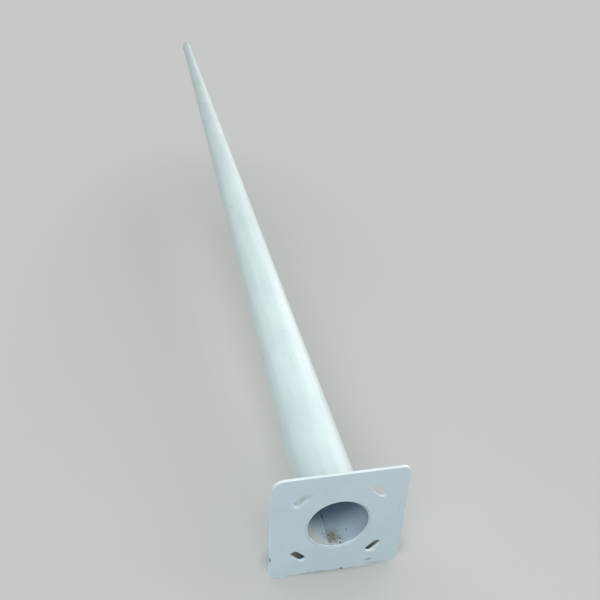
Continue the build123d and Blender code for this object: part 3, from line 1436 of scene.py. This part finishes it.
    def seams(self, shaper: Shaper, finishes: Finishes) -> None:
        """Runs the seam's bead up the outside and the inside, clear of the door's frame.

        Args:
            shaper: The Geometry Nodes trees.
            finishes: The pole's materials.
        """
        m = self.measures
        door_low, door_high = m.door_height - m.door_long / 2, m.door_height + m.door_long / 2
        gap = m.frame_overlap + self.frame_clear
        runs = (
            ("seam_outside_low", m.plate_thickness + self.seam_foot, door_low - self.door_clear, 0.0, 1),
            ("seam_outside_high", door_high + self.door_clear, m.height - self.seam_top, 0.0, 1),
            ("seam_inside_low", m.setback + self.seam_inner_foot, door_low - gap, -m.wall, -1),
            ("seam_inside_high", door_high + gap, m.bore_foot, -m.wall, -1),
        )
        bends = [math.pi * step / self.seam_steps for step in range(self.seam_steps + 1)]
        for name, low, high, offset, side in runs:
            rise = [side * (self.seam_rise * math.sin(bend) - self.seam_sunk) for bend in bends]
            outline = [(self.seam_half * math.cos(bend), y, 0.0) for bend, y in zip(bends, rise)]
            outline += [(x * self.seam_half, -side * self.seam_root, 0.0) for x in (-1, 1)]
            sizes = {
                "Steps": max(self.seam_rows, round((high - low) / self.seam_row)),
                "Low": low * MM,
                "High": high * MM,
                "Low Radius": (m.radius(low) + offset) * MM,
                "High Radius": (m.radius(high) + offset) * MM,
                "Angle": m.seam_angle,
            }
            material = finishes.shaft if side > 0 else finishes.inside
            bead = shaper.sweep(name, outline, shaper.seam, sizes, material)
            self.close_ends(bead.data)
            shaper.tidy(bead, crease=40.0)
            settle(bead, Finish.SHAFT)

    @staticmethod
    def close_ends(mesh: Mesh) -> None:
        """Closes the two ends of a seam's bead.

        Args:
            mesh: The bead's mesh.
        """
        shape = bmesh.new()
        shape.from_mesh(mesh)
        open_edges = [edge for edge in shape.edges if edge.is_boundary]
        bmesh.ops.holes_fill(shape, edges=open_edges, sides=0)
        shape.to_mesh(mesh)
        shape.free()


# Welds


@dataclass
class FootWelds:
    """The weld beads that join the shaft to its base plate.

    The groove's points are measured outwards from the root bead's outer edge and upwards
    from its face.
    """

    measures: PoleMeasures
    root_inner: float = 79.2
    root_outer: float = 84.3
    root_face: float = 3.3
    root_roll: float = 2.6
    root_back: Span = (0.9, 1.3)
    groove: tuple[Span, ...] = ((0.0, 2.5), (-0.5, 2.2), (-1.5, 0.6), (-2.0, 0.1))
    leg: float = 7.0
    bulge: float = 0.63
    seat: float = 0.3
    steps: int = 8
    segments: int = 540

    def root(self) -> list[Point]:
        """Gives the root bead's cross-section from its upper outer corner.

        Returns:
            The outline, with a groove beside the plate where the bead didn't fill the gap.
        """
        width, roll = self.root_outer - self.root_inner, self.root_roll
        outline = [(0.0, 0.0, 0.0)]
        outline += [(x, 0.0, -self.root_face + z) for x, z in self.groove]
        for step in range(self.steps + 1):
            bend = math.pi / 2 * step / self.steps
            x = -width + roll * (1 - math.sin(bend))
            outline.append((x, 0.0, -self.root_face + roll * (1 - math.cos(bend))))
        inset, rise = self.root_back
        return outline + [(-width, 0.0, 0.0), (-width + inset, 0.0, rise)]

    def fillet(self) -> list[Point]:
        """Gives the fillet bead's cross-section from the corner of tube and plate.

        Returns:
            The outline, a little fuller than a straight fillet.
        """
        outline = [(0.0, 0.0, 0.0), (self.leg, 0.0, 0.0)]
        for step in range(1, self.steps + 1):
            share = step / (self.steps + 1)
            bulge = self.bulge * math.sin(math.pi * share)
            outline.append((self.leg * (1 - share) + bulge, 0.0, self.leg * share + bulge))
        return [*outline, (0.0, 0.0, self.leg)]

    def build(self, shaper: Shaper, finishes: Finishes) -> None:
        """Builds the root bead in the plate's hole and the fillet bead on its upper face.

        Args:
            shaper: The Geometry Nodes trees.
            finishes: The pole's materials.
        """
        m = self.measures
        root_sizes = {
            "Segments": self.segments,
            "Radius": self.root_outer * MM,
            "Height": m.setback * MM,
            "Ripples": 135.0,
            "Ripple Depth": 0.1,
            "Wander": 0.1,
            "Lean": 0.16,
            "Lean Angle": 120.0,
            "Seed": 4.0,
        }
        fillet_sizes = {
            "Segments": self.segments,
            "Radius": (m.foot_radius - self.seat) * MM,
            "Height": m.plate_thickness * MM,
            "Ripples": 120.0,
            "Ripple Depth": 0.16,
            "Wander": 0.16,
            "Seed": 9.0,
        }
        for name, outline, sizes, node in (
            ("root_bead", self.root(), root_sizes, "root_weld"),
            ("fillet_bead", self.fillet(), fillet_sizes, "fillet_weld"),
        ):
            bead = shaper.sweep(name, outline, shaper.bead, sizes, finishes.weld)
            shaper.tidy(bead, crease=50.0)
            settle(bead, Finish.WELD, node)


# Door


@dataclass
class AccessDoor:
    """The flush door with its frame, lock bars and screws, and the earth boss below it.

    The points of a screw's head and recess are a radius and a height over the tube, those
    of the boss and its bolt a radius and a height over the boss's seat.
    """

    measures: PoleMeasures
    lock_drop: float = 97.0
    screw_tail: float = 8.0
    screw_point: float = 1.1
    thread_end: float = 4.0
    neck: float = 0.7
    head: tuple[Span, ...] = ((8.4, -0.7), (8.4, 1.0), (7.9, 1.9), (6.8, 2.5), (5.2, 2.8))
    recess: tuple[Span, ...] = ((2.6, 2.8), (2.5, -1.0))
    recess_floor: float = -1.4
    bar_half: float = 40.0
    bar_high: float = 22.0
    bar_thick: float = 6.0
    frame_gap: float = 0.3
    frame_thick: float = 5.0
    merge: float = 0.002
    flat_angle: float = 0.4
    edge_angle: float = 40.0
    crease: float = 38.0
    cover_round: float = 0.7
    steel_round: float = 0.8
    boss_height: float = 454.0
    boss_radius: float = 9.0
    boss_gap: float = 0.1
    boss: tuple[Span, ...] = ((0.0, -0.9), (9.0, -0.9), (9.0, 13.2), (8.2, 14.0), (7.9, 14.05), (7.9, 15.6))
    bolt: tuple[Span, ...] = ((6.5, 15.65), (6.5, 20.2))
    bolt_top: tuple[Span, ...] = ((6.5, 20.9), (0.0, 21.1))
    bolt_limit: float = 6.6

    def softened(self, source: Mesh, name: str, material: Material, width: float) -> Object:
        """Makes a copy of a CAD node with its edges rounded.

        Args:
            source: The CAD node's mesh.
            name: The piece's name.
            material: Its material.
            width: How far its edges are rounded, in millimetres.

        Returns:
            The piece.
        """
        shape = bmesh.new()
        shape.from_mesh(source)
        bmesh.ops.remove_doubles(shape, verts=shape.verts, dist=self.merge * MM)
        flat = math.radians(self.flat_angle)
        bmesh.ops.dissolve_limit(shape, angle_limit=flat, verts=shape.verts, edges=shape.edges)
        limit = math.radians(self.edge_angle)
        sharp = [edge for edge in shape.edges if edge.is_manifold and edge.calc_face_angle(0.0) > limit]
        bmesh.ops.bevel(
            shape,
            geom=sharp,
            offset=width * MM,
            offset_type="OFFSET",
            segments=2,
            profile=0.5,
            affect="EDGES",
            clamp_overlap=True,
        )
        bmesh.ops.recalc_face_normals(shape, faces=shape.faces)
        mesh = bpy.data.meshes.new(name)
        shape.to_mesh(mesh)
        shape.free()
        mesh.materials.append(material)
        mesh.shade_smooth()
        mesh.set_sharp_from_angle(angle=math.radians(self.crease))
        return new_object(name, mesh)

    def bar_front(self, height: float) -> float:
        """Gives the distance from the axis to a lock bar's front.

        Args:
            height: The bar's height on the pole.

        Returns:
            The distance in millimetres.
        """
        m = self.measures
        back = m.radius(height + self.bar_high / 2) - m.wall - self.frame_gap - self.frame_thick
        return math.sqrt(back**2 - self.bar_half**2) - self.frame_gap

    def lock_screw(self, height: float) -> list[Ring]:
        """Gives a lock screw's cross-section: threaded, with a pan head and a three-sided recess.

        Args:
            height: The screw's height on the pole.

        Returns:
            The rings from its tail outwards.
        """
        radius, point = self.measures.screw_radius, self.screw_point
        tail = self.bar_front(height) - self.bar_thick - self.screw_tail
        top = self.measures.radius(height)
        rings = [Ring(0.0, tail), Ring(radius - point, tail), Ring(radius, tail + point)]
        rings += threaded(tail + point, top - self.thread_end, fade=8.0)
        rings += [Ring(radius, top - self.neck)]
        rings += [Ring(wide, top + rise) for wide, rise in self.head]
        rings += [Ring(wide, top + rise, sides=3) for wide, rise in self.recess]
        return [*rings, Ring(0.0, top + self.recess_floor)]

    def terminal(self) -> list[Ring]:
        """Gives the cross-section of the earth boss with its bolt.

        Returns:
            The rings from its seat to the bolt's head.
        """
        rings = [Ring(radius, height) for radius, height in self.boss]
        rings += [Ring(radius, height, sides=6) for radius, height in self.bolt]
        (radius, shoulder), (_, top) = self.bolt_top
        return [*rings, Ring(radius, shoulder, sides=6, limit=self.bolt_limit), Ring(0.0, top)]

    def build(self, nodes: dict, shaper: Shaper, finishes: Finishes) -> None:
        """Builds the door and what belongs to it.

        Args:
            nodes: The CAD nodes by name.
            shaper: The Geometry Nodes trees.
            finishes: The pole's materials.
        """
        m = self.measures
        cover = self.softened(nodes["door_cover"].data, "door_leaf", finishes.shaft, self.cover_round)
        settle(cover, Finish.SHAFT, "door_cover")
        frame = self.softened(nodes["door_frame"].data, "door_ring", finishes.zinc, self.steel_round)
        settle(frame, Finish.STEEL, "door_frame")
        for place, side in (("lower", -1), ("upper", 1)):
            height = m.door_height + side * self.lock_drop
            source = nodes[f"lock_bar_{place}"].data
            bar = self.softened(source, f"door_bar_{place}", finishes.zinc, self.steel_round)
            settle(bar, Finish.STEEL, f"lock_bar_{place}")
            spot = m.outward(m.door_angle, height, 0.0)
            screw = shaper.turn(f"door_screw_{place}", self.lock_screw(height), finishes.stainless, spot)
            settle(screw, Finish.SCREW, f"lock_screw_{place}")
        inner = m.radius(self.boss_height + self.boss_radius) - m.wall
        seat = math.sqrt(inner**2 - self.boss_radius**2) - self.boss_gap
        spot = m.outward(m.door_angle, self.boss_height, seat) @ Matrix.Rotation(math.pi, 4, "X")
        boss = shaper.turn("earth_terminal", self.terminal(), finishes.zinc, spot)
        settle(boss, Finish.STEEL, "earth_boss")


# Top


@dataclass
class TopFittings:
    """The three welded nuts and set screws that hold a lamp bracket in the open top.

    The socket's sizes are the depths of its mouth, its floor and its tip. A bead's outline
    starts inside the nut by its inset, so that the bead has no gap there.
    """

    measures: PoleMeasures
    nut_half: float = 8.5
    nut_high: float = 8.0
    nut_gap: float = 0.15
    nut_sunk: float = 1.3
    nut_chamfer: float = 0.75
    nut_corner: float = 0.15
    nut_lead: Span = (1.0, 0.9)
    screw_stand: float = 4.0
    screw_inset: float = 0.4
    screw_chamfer: float = 1.0
    screw_edge: float = 0.9
    cup: tuple[Span, ...] = ((0.0, 0.9), (2.4, 0.0), (3.2, 0.0))
    cup_high: float = 1.6
    socket_radius: float = 2.5
    socket_mouth: float = 2.9
    socket: tuple[float, float, float] = (0.3, 5.0, 5.8)
    bead: float = 2.4
    bead_inset: float = 1.2
    bead_sunk: float = 0.6
    bead_gap: float = 0.8
    bead_steps: int = 5

    def nut(self, surface: float) -> list[Ring]:
        """Gives the nut's cross-section, sunk a little so that its foot meets the curved tube.

        Args:
            surface: The tube's outer radius there, in millimetres.

        Returns:
            The rings.
        """
        top = surface + self.nut_gap + self.nut_high
        base = surface - self.nut_sunk
        half, hole = self.nut_half, self.measures.screw_hole
        wider, deeper = self.nut_lead
        return [
            Ring(hole, base),
            Ring(half, base, sides=6),
            Ring(half, top - self.nut_chamfer, sides=6),
            Ring(half, top, sides=6, limit=half + self.nut_corner),
            Ring(hole + wider, top),
            Ring(hole, top - deeper),
            Ring(hole, base),
        ]

    def screw(self, surface: float) -> list[Ring]:
        """Gives the set screw's cross-section: cup point, thread and six-sided socket.

        Args:
            surface: The tube's outer radius there, in millimetres.

        Returns:
            The rings from its point outwards.
        """
        m = self.measures
        radius = m.screw_radius
        low = m.radius(m.height - m.set_screw_drop + radius) - m.wall + self.screw_inset
        top = surface + self.nut_high + self.screw_stand
        mouth, floor, tip = (top - depth for depth in self.socket)
        rings = [Ring(wide, low + rise) for wide, rise in self.cup] + [Ring(radius, low + self.cup_high)]
        rings += threaded(low + self.cup_high, top - self.screw_chamfer, fade=9.0)
        rings += [Ring(radius - self.screw_edge, top), Ring(self.socket_mouth, top)]
        rings += [Ring(self.socket_radius, mouth, sides=6), Ring(self.socket_radius, floor, sides=6)]
        return [*rings, Ring(0.0, tip)]

    def nut_weld(self, shaper: Shaper, number: int, surface: float, material: Material) -> Object:
        """Makes the bead round a nut, bent to the tube's surface.

        Args:
            shaper: The Geometry Nodes trees.
            number: The nut's number.
            surface: The tube's outer radius there, in millimetres.
            material: Its material.

        Returns:
            The bead, with its own Z axis pointing outwards.
        """
        size, inset, sunk = self.bead, self.bead_inset, self.bead_sunk
        outline = [(0.0, 0.0, 0.0), (0.0, 0.0, -sunk), (inset + size, 0.0, -sunk)]
        bends = [math.pi / 2 * step / self.bead_steps for step in range(self.bead_steps + 1)]
        outline += [(inset + size * math.cos(bend), 0.0, size * math.sin(bend)) for bend in bends]
        outline += [(0.0, 0.0, size)]
        sizes = {
            "Segments": 96,
            "Radius": (self.nut_half + self.bead_gap - inset) * MM,
            "Height": surface * MM,
            "Ripples": 22.0,
            "Ripple Depth": 0.22,
            "Wander": 0.3,
            "Seed": 20.0 + number,
        }
        bead = shaper.sweep(f"nut_bead_{number}", outline, shaper.bead, sizes, material)
        for vertex in bead.data.vertices:
            across = vertex.co.x / MM
            vertex.co.z -= (surface - math.sqrt(max(1.0, surface**2 - across**2))) * MM
        shaper.tidy(bead, crease=60.0)
        return bead

    def build(self, shaper: Shaper, finishes: Finishes) -> None:
        """Builds the nuts, their beads and the set screws.

        Args:
            shaper: The Geometry Nodes trees.
            finishes: The pole's materials.
        """
        m = self.measures
        height = m.height - m.set_screw_drop
        surface = m.radius(height)
        for number, angle in enumerate(m.set_screw_angles, start=1):
            place = m.outward(angle, height, 0.0)
            nut = shaper.turn(f"weld_nut_{number}", self.nut(surface), finishes.nuts, place, crease=25.0)
            settle(nut, Finish.WELD, f"tip_nut_{number}")
            bead = self.nut_weld(shaper, number, surface, finishes.nuts)
            bead.data.transform(place)
            settle(bead, Finish.WELD)
            screw = shaper.turn(f"set_screw_{number}", self.screw(surface), finishes.stainless, place)
            settle(screw, Finish.SCREW, f"tip_screw_{number}")


# Stage


@dataclass(frozen=True)
class Lamp:
    """A soft rectangular lamp: where it stands, what it faces, its width and height, its watts."""

    name: str
    place: Point
    aim: Point
    size: Span
    power: float
    colour: str

    def build(self) -> None:
        """Adds the lamp to the scene, unseen by the camera."""
        data = bpy.data.lights.new(self.name, "AREA")
        data.shape = "RECTANGLE"
        data.size, data.size_y = self.size
        data.energy = self.power
        data.color = linear(self.colour)[:3]
        lamp = bpy.data.objects.new(self.name, data)
        lamp.location = self.place
        direction = Vector(self.aim) - Vector(self.place)
        lamp.rotation_euler = direction.to_track_quat("-Z", "Y").to_euler()
        lamp.visible_camera = False
        bpy.context.scene.collection.objects.link(lamp)


@dataclass
class Stage:
    """The floor that the pole lies on, the soft lamps and the camera, with their places in metres.

    The floor's paint gives way to an even tone away from the pole, so that it has no
    horizon. A painted shade darkens the floor behind the plate.
    """

    lying_point: Point = (0.0, 0.175, 0.0)
    lying_up: Point = (0.005, -0.994, 0.107)
    lying_reach: float = 400.0
    standing_point: Point = (0.0, 0.0, -0.002)
    standing_up: Point = (0.0, 0.0, 1.0)
    standing_reach: float = 30.0
    floor_colour: str = "#C9C7C5"
    bounce_colour: str = "#757B75"
    far_colour: str = "#C6C9C8"
    sky_tint: str = "#E9F3F3"
    sky_level: float = 0.52
    # Painted shade: the shadow tone, and the ellipse behind the plate that it fills
    painted_shade_colour: str = "#464A47"
    painted_shade_place_mm: Point = (20.0, 0.0, 62.0)
    painted_shade_reach_mm: Span = (230.0, 80.0)
    painted_shade_span: Span = (0.35, 1.0)
    fade_mm: Span = (200.0, 1400.0)
    fade_middle: float = 1.0
    fade_slope: float = 0.3
    focal_px: float = 674.4
    picture_px: float = 600.0
    sensor: float = 36.0
    clip: Span = (0.05, 1000.0)
    camera_place: Point = (-0.3872, -1.3579, -1.1036)
    camera_rows: tuple[Point, Point, Point] = (
        (0.9780787833, -0.0420128122, -0.2039529780),
        (-0.0705082869, 0.8547640063, -0.5142052849),
        (0.1959348746, 0.5173136546, 0.8330642878),
    )
    lamps: tuple[Lamp, ...] = (
        Lamp("side_lamp", (4.1, -1.2, 2.6), (0.5, 0.0, 1.9), (5.0, 9.0), 164.0, "#FFFDF8"),
        Lamp("high_lamp", (2.6, -0.9, 11.4), (-1.0, 0.3, 10.7), (5.0, 9.0), 42.0, "#FAFFFA"),
        Lamp("foot_lamp", (-1.1, -3.3, 1.2), (0.0, 0.0, 1.0), (4.0, 3.0), 32.0, "#EEF9F9"),
        Lamp("front_lamp", (-1.3, -4.4, -4.8), (0.0, 0.0, 0.0), (5.0, 5.0), 292.0, "#F3F6FC"),
        Lamp("back_lamp", (-0.6, 6.5, 3.0), (0.0, 0.0, 3.0), (6.0, 8.0), 430.0, "#F6FAFA"),
    )

    def camera(self) -> None:
        """Places the camera at the photograph's viewing angle."""
        data = bpy.data.cameras.new("camera")
        data.sensor_width = self.sensor
        data.lens = self.focal_px / self.picture_px * self.sensor
        data.clip_start, data.clip_end = self.clip
        right, down, forward = (Vector(row) for row in self.camera_rows)
        turn = Matrix((right, -down, -forward)).transposed()
        camera = bpy.data.objects.new("camera", data)
        camera.matrix_world = Matrix.Translation(self.camera_place) @ turn.to_4x4()
        bpy.context.scene.collection.objects.link(camera)
        bpy.context.scene.camera = camera

    def sheet(self, name: str, centre: Point, up: Point, reach: float) -> Object:
        """Makes a large flat sheet that is pale from above and see-through from below.

        Args:
            name: The sheet's name.
            centre: A point that it passes through, in metres.
            up: The direction that its pale side faces.
            reach: Half of its side in metres.

        Returns:
            The sheet's object.
        """
        normal = Vector(up).normalized()
        along = normal.orthogonal().normalized()
        across = normal.cross(along)
        sides = ((-1, -1), (1, -1), (1, 1), (-1, 1))
        corners = [Vector(centre) + (along * a + across * b) * reach for a, b in sides]
        mesh = new_mesh(name, corners, [(0, 1, 2, 3)])
        mesh.update()
        if mesh.polygons[0].normal.dot(normal) < 0:
            mesh.flip_normals()
        mesh.materials.append(self.sheet_material(name))
        item = new_object(name, mesh)
        item.visible_shadow = False
        return item

    def far_share(self, tree: NodeTree, place: NodeSocket) -> Node:
        """Gives how far away a point of a sheet lies from the pole, from 0 to 1.

        Args:
            tree: The material's tree.
            place: The socket with the object coordinates.

        Returns:
            The node with the share.
        """
        axes = add(tree, "ShaderNodeSeparateXYZ", [place])
        middle = add(tree, "ShaderNodeMath", [axes.outputs["Z"], self.fade_middle], operation="SUBTRACT")
        beyond = add(tree, "ShaderNodeMath", [middle], operation="ABSOLUTE")
        slope = [beyond, self.fade_slope, -self.fade_slope]
        past = add(tree, "ShaderNodeMath", slope, operation="MULTIPLY_ADD")
        end = add(tree, "ShaderNodeMath", [past, 0.0], operation="MAXIMUM")
        flat = add(tree, "ShaderNodeCombineXYZ", [axes.outputs["X"], axes.outputs["Y"], end])
        away = add(tree, "ShaderNodeVectorMath", [flat], operation="LENGTH")
        fade = [away, *metres(self.fade_mm)]
        return add(tree, "ShaderNodeMapRange", fade, interpolation_type="SMOOTHSTEP")

    def with_painted_shade(self, tree: NodeTree, place: NodeSocket) -> Node:
        """Gives the sheets' tone, with a painted shade in the narrow space behind the plate.

        Args:
            tree: The material's tree.
            place: The socket with the object coordinates.

        Returns:
            The node with the colour.
        """
        # Painted shade: a soft ellipse of shadow tone on the floor behind the plate
        reach_x, reach_z = (per_metre(size) for size in self.painted_shade_reach_mm)
        middle = [place, metres(self.painted_shade_place_mm)]
        centred = add(tree, "ShaderNodeVectorMath", middle, operation="SUBTRACT")
        stretch = [centred, (reach_x, 0.0, reach_z)]
        scaled = add(tree, "ShaderNodeVectorMath", stretch, operation="MULTIPLY")
        away = add(tree, "ShaderNodeVectorMath", [scaled], operation="LENGTH")
        span = [away, *self.painted_shade_span]
        share = add(tree, "ShaderNodeMapRange", span, interpolation_type="SMOOTHSTEP")
        tones = [share, linear(self.painted_shade_colour), linear(self.floor_colour)]
        return add(tree, "ShaderNodeMix", tones, data_type="RGBA")

    def sheet_material(self, name: str) -> Material:
        """Makes the sheets' matt paint: pale to the eye and even far away, with a weaker bounce.

        Args:
            name: The material's name.

        Returns:
            The material.
        """
        material, tree = new_material(name)
        place = add(tree, "ShaderNodeTexCoord").outputs["Object"]
        matt = add(tree, "ShaderNodeBsdfDiffuse", {"Color": self.with_painted_shade(tree, place)})
        even = add(tree, "ShaderNodeEmission", {"Color": linear(self.far_colour)})
        seen = add(tree, "ShaderNodeMixShader", [self.far_share(tree, place), matt, even])
        bounce = add(tree, "ShaderNodeBsdfDiffuse", {"Color": linear(self.bounce_colour)})
        bounced = add(tree, "ShaderNodeLightPath").outputs["Is Diffuse Ray"]
        paint = add(tree, "ShaderNodeMixShader", [bounced, seen, bounce])
        below = add(tree, "ShaderNodeNewGeometry").outputs["Backfacing"]
        clear = add(tree, "ShaderNodeBsdfTransparent")
        mix = add(tree, "ShaderNodeMixShader", [below, paint, clear])
        add(tree, "ShaderNodeOutputMaterial", {"Surface": mix})
        return material

    def floors(self) -> None:
        """Makes the floor that the pole lies on, and one that only the eye sees, where it stands."""
        self.sheet("ground", self.lying_point, self.lying_up, self.lying_reach)
        standing = self.sheet("floor", self.standing_point, self.standing_up, self.standing_reach)
        standing.visible_diffuse = False
        standing.visible_glossy = False
        standing.visible_transmission = False

    def sky(self) -> None:
        """Gives the world its even light, and the backdrop's tone where it is looked at or mirrored."""
        world = bpy.data.worlds.new("pale_sky")
        bpy.context.scene.world = world
        world.use_nodes = True
        tree = world.node_tree
        tree.nodes.clear()
        rays = add(tree, "ShaderNodeLightPath").outputs
        mirrored = [rays["Is Glossy Ray"], rays["Is Transmission Ray"]]
        mirror = add(tree, "ShaderNodeMath", mirrored, operation="MAXIMUM")
        looked = add(tree, "ShaderNodeMath", [rays["Is Camera Ray"], mirror], operation="MAXIMUM")
        seen = add(tree, "ShaderNodeBackground", {"Color": linear(self.far_colour), "Strength": 1.0})
        tint = {"Color": linear(self.sky_tint), "Strength": self.sky_level}
        soft = add(tree, "ShaderNodeBackground", tint)
        mix = add(tree, "ShaderNodeMixShader", [looked, soft, seen])
        add(tree, "ShaderNodeOutputWorld", {"Surface": mix})

    def build(self) -> None:
        """Builds the camera, the floors and the light."""
        self.camera()
        self.floors()
        self.sky()
        for lamp in self.lamps:
            lamp.build()
        bpy.context.scene.view_settings.view_transform = "Standard"


def main() -> None:
    """Builds the dressed pole and its stage."""
    logging.basicConfig(level=logging.INFO, format="%(name)s: %(message)s")
    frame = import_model()
    Stage().build()
    measures = PoleMeasures()
    finishes = Finishes()
    shaper = Shaper()
    BasePlate(measures).build(finishes)
    Shaft(measures).build(shaper, finishes)
    FootWelds(measures).build(shaper, finishes)
    AccessDoor(measures).build(frame["nodes"], shaper, finishes)
    TopFittings(measures).build(shaper, finishes)


if __name__ == "__main__":
    main()
